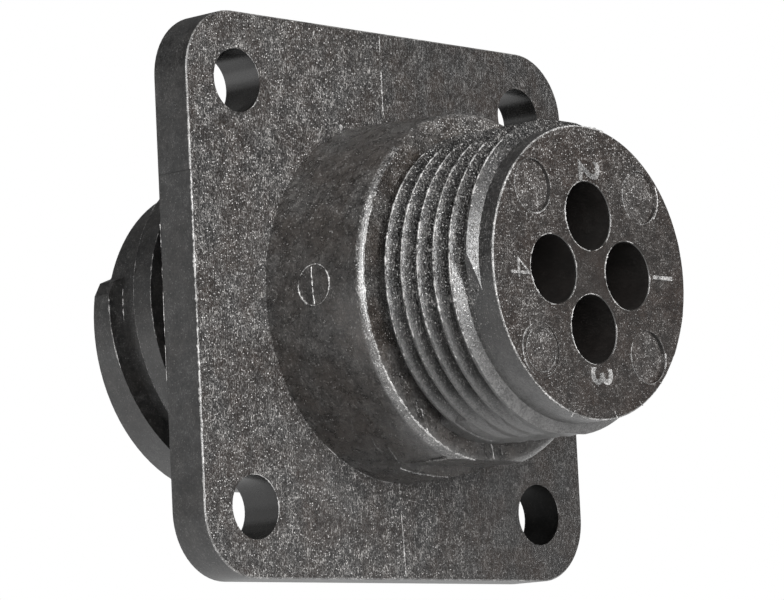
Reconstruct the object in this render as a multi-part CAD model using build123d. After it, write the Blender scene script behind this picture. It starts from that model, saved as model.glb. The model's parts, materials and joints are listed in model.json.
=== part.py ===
from build123d import *
from math import cos, radians, sin, tan
import os

# Panel-mount receptacle of a circular connector: one moulding with a square flange,
# a threaded neck that holds the contact cavities on the wire side, and a mating barrel
# with a keyed recess and coupling ramps on the other side.
#
# Millimetres. +Z is up, and the connector's axis is Y: the wire side faces -Y, the
# mating side faces +Y, and the origin is on the axis, in the flange's wire-side face.
#
# Every feature is drawn in the axial frame, where z runs from that face towards the
# wires and y is up, and the finished solid is then turned into the part's own frame.

# Flange
flange_side = 28.6
flange_thickness = 2.4
flange_corner_radius = 3.4
flange_edge_chamfer = 0.12
screw_hole_spacing = 21.5
screw_hole_radius = 1.625

# Collar between the flange and the thread
collar_base_radius = 9.35
collar_length = 6.25
collar_draft = 2.3
collar_edge_round = 0.4
collar_flat_distance = 8.68
collar_flat_length = 3.25

# Neck with the external thread of 24 turns to the inch
neck_length = 13.46
neck_radius = 7.38
neck_edge_chamfer = 0.08
thread_height = 0.56
thread_pitch = 1.058
thread_turns = 5.26
thread_first_crest = 6.66
thread_first_angle = 96.0
thread_crest_width = 0.14
thread_flank_angle = 28.0
thread_tip_angle = 14.0

# Smooth lands across the thread, above and below, where the mould halves meet
parting_angles = (90.0, 270.0)
land_width = 6.2
land_depth = 0.06
parting_flat_distance = 7.84

# Contact cavities
cavity_circle_radius = 2.84
cavity_count = 4
cavity_radius = 1.725
cavity_depth = 14.6
cavity_mouth_chamfer = 0.12
contact_hole_radius = 1.15

# Mating barrel and its recess
barrel_length = 10.85
barrel_radius = 7.86
barrel_wall = 1.4
barrel_edge_chamfer = 0.05
recess_depth = 8.6
key_height = 0.7
key_end_gap = 1.2
main_key_angle = 90.0
main_key_width = 2.4
side_key_spread = 118.0
side_key_width = 1.4

# Coupling ramps around the barrel
ramp_count = 2
ramp_height = 0.92
ramp_crest_width = 1.28
ramp_flank_angle = 6.0
ramp_lead = 6.3
ramp_sweep_angle = 268.0
ramp_mouth_angle = 88.0
ramp_start_angle = 161.6
ramp_start_edge = 0.94
ramp_lead_in_height = 0.65
ramp_lead_in_angle = 3.4
ramp_crest_start_angle = 8.7

# How far a ridge reaches into the wall that carries it, and a cutter past a surface
ridge_root = 0.15
cutter_overrun = 1.0

full_turn = 360.0
barrel_end = -(flange_thickness + barrel_length)
recess_floor = barrel_end + recess_depth
recess_radius = barrel_radius - barrel_wall
last_angle = thread_first_angle + full_turn * thread_turns
last_crest = thread_first_crest + thread_pitch * thread_turns


def polar(radius, angle):
    """Point at a radius and an angle around the axis."""
    return (radius * cos(radians(angle)), radius * sin(radians(angle)))


def flange():
    """Square plate with round corners and softened outer edges."""
    outline = RectangleRounded(flange_side, flange_side, flange_corner_radius)
    plate = extrude(outline, amount=-flange_thickness)
    rims = plate.edges().group_by(Axis.Z)
    return chamfer(rims[0] + rims[-1], flange_edge_chamfer)


def screw_holes():
    """Four cutters through the flange."""
    hole = Pos(0, 0, cutter_overrun) * Circle(screw_hole_radius)
    cutter = extrude(hole, amount=-(flange_thickness + 2 * cutter_overrun))
    return GridLocations(screw_hole_spacing, screw_hole_spacing, 2, 2) * cutter


def collar():
    """Drafted round boss with a rounded front edge and a short flat underneath."""
    front_radius = collar_base_radius - collar_length * tan(radians(collar_draft))
    half_section = Polygon(
        (0, 0),
        (collar_base_radius, 0),
        (front_radius, collar_length),
        (0, collar_length),
        align=None,
    )
    boss = revolve(Plane.XZ.location * half_section, Axis.Z)
    front_edge = boss.edges().filter_by(GeomType.CIRCLE).sort_by(Axis.Z)[-1]
    boss = fillet(front_edge, collar_edge_round)
    depth = collar_base_radius
    middle = -(collar_flat_distance + depth / 2)
    floor_z = collar_length - collar_flat_length
    flat = Pos(0, middle, floor_z) * Rectangle(2 * collar_base_radius, depth)
    return boss - extrude(flat, amount=collar_flat_length + cutter_overrun)


def neck():
    """Plain round neck, which is the thread's root and the pilot in front of it."""
    body = extrude(Circle(neck_radius), amount=neck_length)
    return chamfer(body.edges().sort_by(Axis.Z)[-1], neck_edge_chamfer)


def helical_ridge(root_radius, height, crest_width, flank_angle, lead, start, turns):
    """Ridge of trapezoid section that climbs round the axis from angle 0.

    The section's middle starts at height start, and the flanks open towards the root.
    """
    path = Helix(lead, lead * turns, root_radius, center=(0, 0, start))
    crest = crest_width / 2
    foot = crest + (height + ridge_root) * tan(radians(flank_angle))
    section = Polygon(
        (-ridge_root, -foot),
        (height, -crest),
        (height, crest),
        (-ridge_root, foot),
        align=None,
    )
    plane = Plane(origin=path @ 0, x_dir=(1, 0, 0), z_dir=path % 0)
    return sweep(plane * section, path, is_frenet=True)


def thread():
    """External thread that ends in a tapered tip at the pilot."""
    ridge = helical_ridge(
        neck_radius,
        thread_height,
        thread_crest_width,
        thread_flank_angle,
        thread_pitch,
        thread_first_crest,
        thread_turns,
    )
    ridge = Rot(0, 0, thread_first_angle) * ridge
    crest_radius = neck_radius + thread_height
    tip = Polygon(
        polar(neck_radius, last_angle),
        polar(crest_radius, last_angle - thread_tip_angle),
        polar(crest_radius + thread_height, last_angle - thread_tip_angle),
        polar(crest_radius + thread_height, last_angle),
        align=None,
    )
    tip = Pos(0, 0, last_crest - thread_pitch / 2) * tip
    return ridge - extrude(tip, amount=thread_pitch, dir=(0, 0, 1))


def land(angle):
    """Smooth band along the parting line, where the mould leaves the grooves filled.

    It runs from the collar to the last crest at that angle, just under the crests.
    """
    land_radius = neck_radius + thread_height - land_depth
    half_width = land_width / 2
    foot_width = half_width + thread_height
    wedge = Polygon(
        (0, -foot_width),
        (neck_radius, -foot_width),
        (land_radius, -half_width),
        (land_radius, half_width),
        (neck_radius, foot_width),
        (0, foot_width),
        align=None,
    )
    turns_left = (last_angle - angle) % full_turn / full_turn
    end = last_crest - thread_pitch * turns_left
    outline = Rot(0, 0, angle) * (Circle(land_radius) & wedge)
    return extrude(outline, amount=end, dir=(0, 0, 1))


def threaded_neck():
    """Neck with its thread and lands, trimmed flat where the mould halves meet."""
    body = neck() + thread()
    for angle in parting_angles:
        body += land(angle)
    crest_radius = neck_radius + thread_height
    band = Rectangle(2 * (crest_radius + cutter_overrun), 2 * parting_flat_distance)
    return body & extrude(band, amount=neck_length + cutter_overrun, dir=(0, 0, 1))


def barrel():
    """Round barrel behind the flange, solid until the recess is cut."""
    body = extrude(Circle(barrel_radius), amount=barrel_end)
    return chamfer(body.edges().sort_by(Axis.Z)[0], barrel_edge_chamfer)


def ramp():
    """One coupling ramp, from angle 0: a blunt start that is filled out to the barrel's
    end, and a helical ridge that climbs from it towards the flange."""
    turns = ramp_sweep_angle / full_turn
    mouth_turns = ramp_mouth_angle / full_turn
    start = barrel_end + ramp_start_edge - ramp_crest_width / 2
    ridge = helical_ridge(
        barrel_radius,
        ramp_height,
        ramp_crest_width,
        ramp_flank_angle,
        ramp_lead,
        start,
        turns,
    )
    fill = ramp_lead * mouth_turns
    mouth = helical_ridge(
        barrel_radius,
        ramp_height,
        ramp_crest_width + fill,
        ramp_flank_angle,
        ramp_lead,
        start - fill / 2,
        mouth_turns,
    )
    ridge += mouth
    crest_radius = barrel_radius + ramp_height
    outer_radius = crest_radius + ramp_height
    lead_in = Polygon(
        polar(barrel_radius - ridge_root, -ramp_lead_in_angle),
        polar(barrel_radius, 0),
        polar(barrel_radius + ramp_lead_in_height, ramp_lead_in_angle),
        polar(crest_radius, ramp_crest_start_angle),
        polar(outer_radius, ramp_crest_start_angle),
        polar(outer_radius, -ramp_lead_in_angle),
        align=None,
    )
    lead_in = Pos(0, 0, barrel_end) * lead_in
    ridge -= extrude(lead_in, amount=2 * ramp_crest_width, dir=(0, 0, 1))
    room = extrude(Pos(0, 0, barrel_end) * Circle(outer_radius), amount=barrel_length)
    return ridge & room


def ramps():
    """The ramps, evenly spaced around the barrel."""
    one = Rot(0, 0, ramp_start_angle) * ramp()
    return [Rot(0, 0, full_turn * i / ramp_count) * one for i in range(ramp_count)]


def recess():
    """Cutter for the mating recess, with the polarising keys left standing."""
    depth = recess_depth + cutter_overrun
    cutter = extrude(Pos(0, 0, recess_floor) * Circle(recess_radius), amount=-depth)
    key_length = recess_depth - key_end_gap
    for angle, width in (
        (main_key_angle, main_key_width),
        (main_key_angle + side_key_spread, side_key_width),
        (main_key_angle - side_key_spread, side_key_width),
    ):
        middle = recess_radius - key_height / 2 + cutter_overrun / 2
        outline = Pos(middle, 0, recess_floor) * Rectangle(key_height + cutter_overrun, width)
        cutter -= Rot(0, 0, angle) * extrude(outline, amount=-key_length)
    return cutter


def cavity():
    """Cutter for one contact cavity: a wide bore from the wire side, with a small chamfer
    at its mouth, and past a shoulder a narrower hole for the contact's nose."""
    mouth = Pos(0, 0, neck_length)
    bore = extrude(mouth * Circle(cavity_radius), amount=-cavity_depth)
    bore += extrude(mouth * Circle(cavity_radius), amount=cutter_overrun)
    flare = cavity_mouth_chamfer
    lip = Cone(cavity_radius, cavity_radius + flare, flare)
    bore += Pos(0, 0, neck_length - flare / 2) * lip
    reach = neck_length - recess_floor + cutter_overrun
    return bore + extrude(mouth * Circle(contact_hole_radius), amount=-reach)


def cavities():
    """The cavities, evenly spaced around the axis."""
    return PolarLocations(cavity_circle_radius, cavity_count) * cavity()


def receptacle_shell():
    """The whole moulding in the part's own frame."""
    body = threaded_neck() + flange() + collar() + barrel()
    for one in ramps():
        body += one
    body -= recess()
    body -= screw_holes()
    body -= cavities()
    return Plane.XZ.location * body


shell = receptacle_shell()
shell.label = "receptacle_shell"

os.makedirs("parts", exist_ok=True)
export_step(shell, "parts/receptacle_shell.step")

size = shell.bounding_box().size
print("receptacle_shell", len(shell.solids()), "solid,", round(shell.volume, 1), "mm3")
print("box", round(size.X, 2), round(size.Y, 2), round(size.Z, 2))
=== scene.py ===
# %% [markdown]
# # A panel-mount connector receptacle
# The real object is one small moulding in black glass-filled nylon: a square flange, a
# round collar, a threaded neck with four contact cavities, and a mating barrel behind.
# The CAD model already holds these forms at their true size. This lesson gives them the
# finish of a real moulding: speckle, soft edges, burrs, pin marks and numbers.

# %% Load the frame
import json
import math

import bpy
from mathutils import Matrix, Vector, noise

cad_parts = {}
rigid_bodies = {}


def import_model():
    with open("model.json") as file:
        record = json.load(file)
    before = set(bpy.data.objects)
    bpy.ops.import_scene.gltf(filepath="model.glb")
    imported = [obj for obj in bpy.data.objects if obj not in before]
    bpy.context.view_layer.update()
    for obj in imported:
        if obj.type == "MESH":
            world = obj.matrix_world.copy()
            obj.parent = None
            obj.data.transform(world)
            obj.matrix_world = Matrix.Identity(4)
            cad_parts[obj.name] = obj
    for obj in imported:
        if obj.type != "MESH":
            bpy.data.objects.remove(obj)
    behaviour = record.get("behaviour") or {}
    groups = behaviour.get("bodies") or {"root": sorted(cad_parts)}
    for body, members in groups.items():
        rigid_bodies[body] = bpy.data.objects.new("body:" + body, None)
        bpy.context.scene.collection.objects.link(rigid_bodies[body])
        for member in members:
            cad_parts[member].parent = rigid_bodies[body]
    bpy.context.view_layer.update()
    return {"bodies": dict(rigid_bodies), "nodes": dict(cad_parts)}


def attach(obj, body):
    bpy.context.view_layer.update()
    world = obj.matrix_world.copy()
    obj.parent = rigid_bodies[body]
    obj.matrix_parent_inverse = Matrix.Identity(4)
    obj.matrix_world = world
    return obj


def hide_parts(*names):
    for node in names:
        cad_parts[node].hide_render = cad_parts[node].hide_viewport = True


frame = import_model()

MM = 0.001
BODY = "root"
CAD_NODE = "receptacle_shell"

# %% [markdown]
# Blender opens with a cube, a lamp and a camera of its own. None of them belongs here,
# so everything that the frame doesn't hold is removed before anything is added.

# %% Clear the startup objects
kept = set(frame["nodes"].values()) | set(frame["bodies"].values())
for leftover in [o for o in bpy.context.scene.objects if o not in kept]:
    bpy.data.objects.remove(leftover)


# %% [markdown]
# An operator works on whatever is selected, and the loaded nodes come in selected. So
# each step starts from one small helper that deselects all and picks a single piece.

# %% Helpers for selecting
def pick(piece):
    """Selects one piece and makes it active."""
    bpy.ops.object.select_all(action="DESELECT")
    piece.select_set(True)
    bpy.context.view_layer.objects.active = piece


def settle(piece):
    """Moves the object's place, turn and scale into its mesh."""
    pick(piece)
    bpy.ops.object.transform_apply(location=True, rotation=True, scale=True)


def apply_all(piece):
    """Applies every modifier of a piece, in order."""
    pick(piece)
    for modifier in list(piece.modifiers):
        bpy.ops.object.modifier_apply(modifier=modifier.name)


def finish_piece(piece, materials):
    """Gives a piece its materials, and lets it ride on the body."""
    settle(piece)
    for material in materials:
        piece.data.materials.append(material)
    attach(piece, BODY)
    print(piece.name, "faces:", len(piece.data.polygons))


# %% [markdown]
# The dressing has to land on the forms of the CAD model, so the sizes of those forms
# are named once, in millimetres. +Z is up, and the wires leave towards -Y.

# %% Sizes of the CAD model
HALF_SIDE = 14.3
FLANGE_THICKNESS = 2.4
CORNER_RADIUS = 3.4
CORNER_PLACE = HALF_SIDE - CORNER_RADIUS
EDGE_CHAMFER = 0.12
HOLE_PLACE = 10.75
HOLE_RADIUS = 1.625

COLLAR_RADIUS = 9.35
COLLAR_DRAFT = 2.3
COLLAR_FRONT_Y = -6.25

ROOT_RADIUS = 7.38
LAND_RADIUS = 7.88
PITCH = 1.058
FIRST_CREST = 6.66
FIRST_ANGLE = 96.0
LAST_ANGLE = 1989.6

FACE_Y = -13.46
CAVITIES = [(0, 2.84), (2.84, 0), (0, -2.84), (-2.84, 0)]
CAVITY_RADIUS = 1.725

RECESS_RADIUS = 6.46
RECESS_FLOOR_Y = 4.65
BARREL_RADIUS = 7.86
RAMP_RADIUS = 8.78
RAMP_LEAD = 6.3
RAMP_START = 161.6
RAMP_START_Y = 12.95
RAMP_HALF_WIDTH = 0.64
print("wire face at Y", FACE_Y, "and flange from 0 to", FLANGE_THICKNESS)

# %% [markdown]
# The camera comes first, because every later choice is judged through it. The photo is
# taken with a long lens from the wire side, a little to the left and below the axis, so
# the flange's lines hardly converge. No lens shift is needed.

# %% Camera
CAMERA_PLACE = (-0.153624, -0.140667, -0.025439)
CAMERA_TURN = (97.0320, 2.7756, -47.1746)
CAMERA_LENS = 185.80

bpy.ops.object.camera_add(
    location=CAMERA_PLACE,
    rotation=[math.radians(angle) for angle in CAMERA_TURN],
)
camera = bpy.context.active_object
camera.name = "view_camera"
camera.data.sensor_width = 36.0
camera.data.lens = CAMERA_LENS
camera.data.clip_start = 0.01
camera.data.clip_end = 20.0
bpy.context.scene.camera = camera
bpy.context.scene.view_settings.view_transform = "Standard"
print("camera distance, mm:", round(camera.location.length / MM, 1))

# %% [markdown]
# Glass-filled nylon isn't an even black. Short glass fibres lie just under the skin and
# show as fine pale streaks in every direction, and the nylon between them clouds from
# brown to grey. A picture of that would slide or repeat, so it is worked out in space:
# each cell of a Voronoi pattern holds one little rod, turned its own way, and the skin
# shows the rods that it cuts. The rods are made once here, as a node group.

# %% Node helpers
def new_group(name, inputs, outputs):
    """Empty shader node group with named sockets."""
    group = bpy.data.node_groups.new(name, "ShaderNodeTree")
    for label, kind, value in inputs:
        socket = group.interface.new_socket(label, in_out="INPUT", socket_type=kind)
        if value is not None:
            socket.default_value = value
    for label, kind in outputs:
        group.interface.new_socket(label, in_out="OUTPUT", socket_type=kind)
    return group


class Nodes:
    """Short ways to add and link nodes in one tree."""

    def __init__(self, tree):
        self.tree = tree

    def add(self, kind, **settings):
        node = self.tree.nodes.new(kind)
        for label, value in settings.items():
            setattr(node, label, value)
        return node

    def feed(self, socket, value):
        if isinstance(value, bpy.types.NodeSocket):
            self.tree.links.new(value, socket)
        else:
            socket.default_value = value

    def math(self, operation, first, second=0.0, third=0.0, clamp=False):
        node = self.add("ShaderNodeMath", operation=operation, use_clamp=clamp)
        for socket, value in zip(node.inputs, (first, second, third)):
            self.feed(socket, value)
        return node.outputs[0]

    def vector(self, operation, first, second=(0, 0, 0), scale=1.0):
        node = self.add("ShaderNodeVectorMath", operation=operation)
        self.feed(node.inputs[0], first)
        self.feed(node.inputs[1], second)
        self.feed(node.inputs[3], scale)
        return node.outputs["Value" if operation in ("DOT_PRODUCT", "LENGTH") else "Vector"]

    def span(self, value, low, high, to_low=0.0, to_high=1.0):
        """Maps a range of values softly, clamped at both ends."""
        node = self.add("ShaderNodeMapRange", interpolation_type="SMOOTHSTEP")
        for socket, number in zip(node.inputs, (value, low, high, to_low, to_high)):
            self.feed(socket, number)
        return node.outputs["Result"]

    def noise(self, vector, scale, detail=2.0, roughness=0.5, distortion=0.0):
        node = self.add("ShaderNodeTexNoise", noise_dimensions="3D")
        for label, value in (
            ("Vector", vector),
            ("Scale", scale),
            ("Detail", detail),
            ("Roughness", roughness),
            ("Distortion", distortion),
        ):
            self.feed(node.inputs[label], value)
        return node.outputs["Fac"]

    def mix_color(self, factor, first, second):
        node = self.add("ShaderNodeMix", data_type="RGBA")
        self.feed(node.inputs[0], factor)
        self.feed(node.inputs[6], first)
        self.feed(node.inputs[7], second)
        return node.outputs[2]


# %% Group: short glass fibres
def make_fibre_group():
    """Pale rods, one in each cell of a Voronoi pattern, flattened into the surface."""
    group = new_group(
        "short_glass_fibres",
        [
            ("Vector", "NodeSocketVector", None),
            ("Normal", "NodeSocketVector", None),
            ("Cells", "NodeSocketFloat", 5.0),
            ("Length", "NodeSocketFloat", 0.1),
            ("Width", "NodeSocketFloat", 0.03),
            ("Rarity", "NodeSocketFloat", 1.0),
        ],
        [("Mask", "NodeSocketFloat")],
    )
    n = Nodes(group)
    source = n.add("NodeGroupInput").outputs
    cell = n.add("ShaderNodeTexVoronoi", voronoi_dimensions="3D", feature="F1")
    n.feed(cell.inputs["Vector"], source["Vector"])
    n.feed(cell.inputs["Scale"], source["Cells"])
    offset = n.vector("SUBTRACT", source["Vector"], cell.outputs["Position"])
    depth = n.vector("DOT_PRODUCT", offset, source["Normal"])
    lift = n.vector("SCALE", source["Normal"], scale=n.math("MULTIPLY", depth, 0.8))
    offset = n.vector("SUBTRACT", offset, lift)
    way = n.vector("SUBTRACT", cell.outputs["Color"], (0.5, 0.5, 0.5))
    dip = n.vector("DOT_PRODUCT", way, source["Normal"])
    lift = n.vector("SCALE", source["Normal"], scale=n.math("MULTIPLY", dip, 0.9))
    way = n.vector("NORMALIZE", n.vector("SUBTRACT", way, lift))
    along = n.vector("DOT_PRODUCT", offset, way)
    aside = n.vector("LENGTH", n.vector("SUBTRACT", offset, n.vector("SCALE", way, scale=along)))
    reach = n.math("ABSOLUTE", along)
    core = n.span(n.math("DIVIDE", aside, source["Width"]), 0.4, 1.0, 1.0, 0.0)
    ends = n.span(n.math("DIVIDE", reach, source["Length"]), 0.6, 1.0, 1.0, 0.0)
    chance = n.add("ShaderNodeSeparateColor")
    n.feed(chance.inputs[0], cell.outputs["Color"])
    strength = n.math("POWER", chance.outputs[0], source["Rarity"])
    mask = n.math("MULTIPLY", n.math("MULTIPLY", core, ends), strength)
    n.feed(n.add("NodeGroupOutput").inputs["Mask"], mask)
    return group


fibre_group = make_fibre_group()
print("made group", fibre_group.name)

# %% [markdown]
# The second group holds the nylon itself: brown and grey clouds, a fine grain, the
# streaks that the melt leaves as it flows, and the glass over them. It also lays painted
# glints into the colour: pale specks that stand in for light sparkling off the glass. It
# puts out a colour, a roughness and a height. Each part of the moulding uses it with its
# own values, because the mould was spark-eroded rough at the flange and polished at the
# barrel. Flow streaks are plain noise, turned a little and then drawn out along Z.

# %% Group: clouded nylon
# Near-white of the painted glints, which stand in for light sparkling off the glass.
PAINTED_GLINT_COLOR = (0.62, 0.61, 0.6, 1.0)
# Grey of the haze: real bloom in some zones, and painted sheen and highlight in others.
HAZE_AND_SHEEN_COLOR = (0.11, 0.108, 0.106, 1.0)


def make_nylon_group():
    """Colour, roughness and height of glass-filled nylon, from a position in mm."""
    group = new_group(
        "glass_filled_nylon",
        [
            ("Vector", "NodeSocketVector", None),
            ("Normal", "NodeSocketVector", None),
            ("Brown", "NodeSocketColor", (0.05, 0.045, 0.04, 1.0)),
            ("Grey", "NodeSocketColor", (0.06, 0.06, 0.06, 1.0)),
            ("Glass", "NodeSocketColor", (0.3, 0.3, 0.3, 1.0)),
            ("Cloud", "NodeSocketFloat", 0.5),
            ("Streaks", "NodeSocketFloat", 0.5),
            ("Fibres", "NodeSocketFloat", 0.5),
            ("Painted Glints", "NodeSocketFloat", 0.5),
            ("Roughness", "NodeSocketFloat", 0.5),
            ("Amount", "NodeSocketFloat", 1.0),
            ("Haze And Sheen", "NodeSocketFloat", 0.0),
        ],
        [
            ("Color", "NodeSocketColor"),
            ("Roughness", "NodeSocketFloat"),
            ("Height", "NodeSocketFloat"),
        ],
    )
    n = Nodes(group)
    source = n.add("NodeGroupInput").outputs
    place = source["Vector"]
    broad = n.noise(place, 0.4, 3.0, 0.55)
    blotch = n.noise(place, 1.2, 2.0, 0.5)
    cloud = n.noise(place, 1.5, 6.0, 0.7, 0.6)
    grain = n.noise(place, 8.0, 3.0, 0.7)

    def streak(tilt, width, length, shift):
        turn = n.add("ShaderNodeMapping", vector_type="TEXTURE")
        n.feed(turn.inputs["Vector"], place)
        n.feed(turn.inputs["Location"], shift)
        n.feed(turn.inputs["Rotation"], (0, math.radians(tilt), 0))
        n.feed(turn.inputs["Scale"], (width, width, length))
        return n.noise(turn.outputs[0], 1.0, 1.0, 0.5, 0.15)

    def fibres(cells, length, width, rarity, shift):
        node = n.add("ShaderNodeGroup", node_tree=fibre_group)
        n.feed(node.inputs["Vector"], n.vector("ADD", place, shift))
        n.feed(node.inputs["Normal"], source["Normal"])
        for label, value in (
            ("Cells", cells),
            ("Length", length),
            ("Width", width),
            ("Rarity", rarity),
        ):
            n.feed(node.inputs[label], value)
        return node.outputs["Mask"]

    leaning = n.span(streak(11, 0.06, 0.28, (3.0, 1.0, 5.0)), 0.58, 0.73)
    crossing = n.span(streak(-30, 0.06, 0.2, (7.0, 2.0, 0.4)), 0.6, 0.75)
    flow = n.math("MAXIMUM", leaning, crossing)
    long_rods = fibres(5.5, 0.11, 0.03, 1.5, (3.1, 1.7, 5.3))
    short_rods = fibres(8.3, 0.08, 0.026, 2.0, (7.7, 2.9, 0.4))
    rods = n.math("MAXIMUM", long_rods, short_rods)
    # The smallest, rarest rods are painted glints: specks of near-white in the colour.
    glint_specks = fibres(6.5, 0.05, 0.03, 4.5, (1.3, 8.2, 4.6))

    base = n.mix_color(n.span(broad, 0.35, 0.65), source["Brown"], source["Grey"])
    fine = n.math("MULTIPLY_ADD", source["Amount"], 0.75, 0.25, clamp=True)
    shade = n.math("ADD", n.span(cloud, 0.3, 0.7, -0.5, 0.5), n.span(grain, 0.3, 0.75, -0.6, 1.4))
    shade = n.math("MULTIPLY_ADD", shade, fine, n.span(blotch, 0.35, 0.65, -0.4, 0.4))
    shade = n.math("MULTIPLY_ADD", shade, source["Cloud"], 1.0)
    tinted = n.vector("SCALE", base, scale=n.math("MAXIMUM", shade, 0.2))

    clump = n.math("MULTIPLY", n.span(cloud, 0.4, 0.6, 0.25, 1.3), source["Amount"])
    clump = n.math("MULTIPLY", clump, n.span(broad, 0.35, 0.65, 0.6, 1.25))
    clump = n.math("MULTIPLY", clump, n.span(blotch, 0.35, 0.65, 0.65, 1.35))
    lit = n.math("MULTIPLY", flow, source["Streaks"])
    lit = n.math("ADD", lit, n.math("MULTIPLY", rods, source["Fibres"]))
    lit = n.math("MULTIPLY", lit, clump, clamp=True)
    color = n.mix_color(lit, tinted, source["Glass"])
    # Painted glints: the near-white specks go into the base colour.
    spark = n.math("MULTIPLY", glint_specks, source["Painted Glints"])
    spark = n.math("MULTIPLY", spark, source["Amount"], clamp=True)
    color = n.mix_color(spark, color, PAINTED_GLINT_COLOR)
    # Grey haze in the colour: real bloom on the flange smear and ejector marks, painted sheen low
    # on the thread, and painted highlight along the collar's rim.
    mottle = n.math("MULTIPLY_ADD", grain, 0.6, n.math("MULTIPLY", cloud, 0.4))
    mottle = n.span(mottle, 0.38, 0.62, 0.35, 1.75)
    veil = n.math("MULTIPLY", source["Haze And Sheen"], mottle, clamp=True)
    color = n.mix_color(veil, color, HAZE_AND_SHEEN_COLOR)

    rough = n.math("MULTIPLY_ADD", n.math("SUBTRACT", cloud, 0.5), 0.12, source["Roughness"])
    rough = n.math("SUBTRACT", rough, n.math("MULTIPLY", spark, 0.15), clamp=True)
    height = n.math("MULTIPLY", n.math("ADD", grain, cloud), n.math("MULTIPLY", fine, 0.5))
    height = n.math("MULTIPLY_ADD", blotch, 0.5, height)
    raised = n.math("MULTIPLY", source["Streaks"], source["Amount"])
    height = n.math("MULTIPLY_ADD", flow, raised, height)
    height = n.math("MULTIPLY_ADD", rods, 0.3, height)

    result = n.add("NodeGroupOutput").inputs
    n.feed(result["Color"], color)
    n.feed(result["Roughness"], rough)
    n.feed(result["Height"], height)
    return group


nylon_group = make_nylon_group()
print("made group", nylon_group.name, "with", len(nylon_group.nodes), "nodes")

# %% [markdown]
# Every material is the same recipe: the nylon group feeds a Principled shader, and its
# height goes through a Bump node. The pattern reads Object coordinates, turned into
# millimetres, so that it stays fixed to the part from any side. Roughness, Amount and
# the grey haze, which is real bloom in some zones and painted sheen and highlight in
# others, are each a plain number or a mask, which is a function of the place.

# %% Recipe of a material
def nylon(name, brown, grey, glass, levels, roughness, depth, amount=1.0, gloss=1.0, haze_and_sheen=0.0):
    """Material of one zone; levels are those of cloud, streaks, fibres and painted glints,
    and depth is that of its relief in mm."""
    material = bpy.data.materials.new(name)
    material.use_nodes = True
    n = Nodes(material.node_tree)
    shader = material.node_tree.nodes["Principled BSDF"]
    place = n.vector("SCALE", n.add("ShaderNodeTexCoord").outputs["Object"], scale=1 / MM)
    body = n.add("ShaderNodeGroup", node_tree=nylon_group)
    n.feed(body.inputs["Vector"], place)
    n.feed(body.inputs["Normal"], n.add("ShaderNodeNewGeometry").outputs["True Normal"])
    for label, color in (("Brown", brown), ("Grey", grey), ("Glass", glass)):
        n.feed(body.inputs[label], (*color, 1.0))
    for label, level in zip(("Cloud", "Streaks", "Fibres", "Painted Glints"), levels):
        n.feed(body.inputs[label], level)
    axes = n.add("ShaderNodeSeparateXYZ")
    n.feed(axes.inputs[0], place)
    for label, mask in (("Roughness", roughness), ("Amount", amount), ("Haze And Sheen", haze_and_sheen)):
        n.feed(body.inputs[label], mask(n, *axes.outputs) if callable(mask) else mask)
    relief = n.add("ShaderNodeBump")
    n.feed(relief.inputs["Height"], body.outputs["Height"])
    n.feed(relief.inputs["Strength"], 1.0)
    n.feed(relief.inputs["Distance"], depth * MM)
    n.feed(shader.inputs["Specular IOR Level"], gloss)
    n.feed(shader.inputs["Base Color"], body.outputs["Color"])
    n.feed(shader.inputs["Roughness"], body.outputs["Roughness"])
    n.feed(shader.inputs["Normal"], relief.outputs["Normal"])
    return material


# %% [markdown]
# The masks read the place in mm along the part's own axes. On the flange the streaks
# fade towards +X and grow towards the top, which paints the upper flange paler as if lit
# from above. Above the thread the glass breaks through most, and the ejector marks are
# worn. Low on the thread lies a grey painted sheen for the bright floor's reflection, and
# along the collar's lower front edge a grey painted highlight.

# %% Masks
EJECTOR_X = 4.12
EJECTOR_Z = 4.05


def fade_to_right(n, x, y, z):
    """Streaks at full strength on the left, most so at its top, and weak on the right."""
    level = n.span(n.math("MULTIPLY_ADD", z, 0.2, x), -4.0, 7.0, 1.0, 0.2)
    # The rise towards the top is painted light: it makes the upper flange paler, as if lit from
    # above.
    return n.math("MULTIPLY", level, n.span(z, -7.0, 6.0, 0.84, 1.04))


def patch_on_top(n, x, y, z):
    """Glass that breaks through above the thread, on the collar's front face."""
    sides = n.span(n.math("ABSOLUTE", n.math("ADD", x, 0.8)), 1.6, 3.6, 1.0, 0.0)
    level = n.math("MULTIPLY", sides, n.span(z, 7.2, 8.0))
    level = n.math("MULTIPLY", level, n.span(y, -5.6, -6.2))
    level = n.math("MULTIPLY_ADD", level, 1.5, 1.0)
    return n.math("ADD", level, n.span(z, 1.0, 5.5, 0.0, 0.8))


def worn_below(n, x, y, z):
    """Glass that shows on the thread's upper side, and hardly below or on the pilot."""
    last_turn = n.span(y, -12.3, -11.7, 0.6, 1.0)
    front = n.math("MULTIPLY", last_turn, n.span(y, -12.75, -12.45, 0.5, 1.0))
    return n.math("MULTIPLY", n.span(z, -5.5, -0.5, 0.3, 1.0), front)


def from_axis(n, x, z):
    """Distance from the part's axis."""
    return n.math("SQRT", n.math("ADD", n.math("MULTIPLY", x, x), n.math("MULTIPLY", z, z)))


def painted_sheen_below(n, x, y, z):
    """Painted sheen where the thread faces the bright floor: grey low on the last turn and
    on the crests, and a little all over the pilot.
    """
    bloom = n.span(z, -2.0, -6.8, 0.0, 0.65)
    bloom = n.math("MULTIPLY", bloom, n.span(y, -10.0, -11.0, 0.15, 1.0))
    crests = n.span(from_axis(n, x, z), 7.6, 7.9)
    crests = n.math("MULTIPLY", crests, n.span(z, -1.0, -4.0, 0.0, 0.7))
    level = n.math("MAXIMUM", bloom, crests)
    return n.math("MAXIMUM", level, n.span(y, -12.4, -12.8, 0.0, 0.09))


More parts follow.
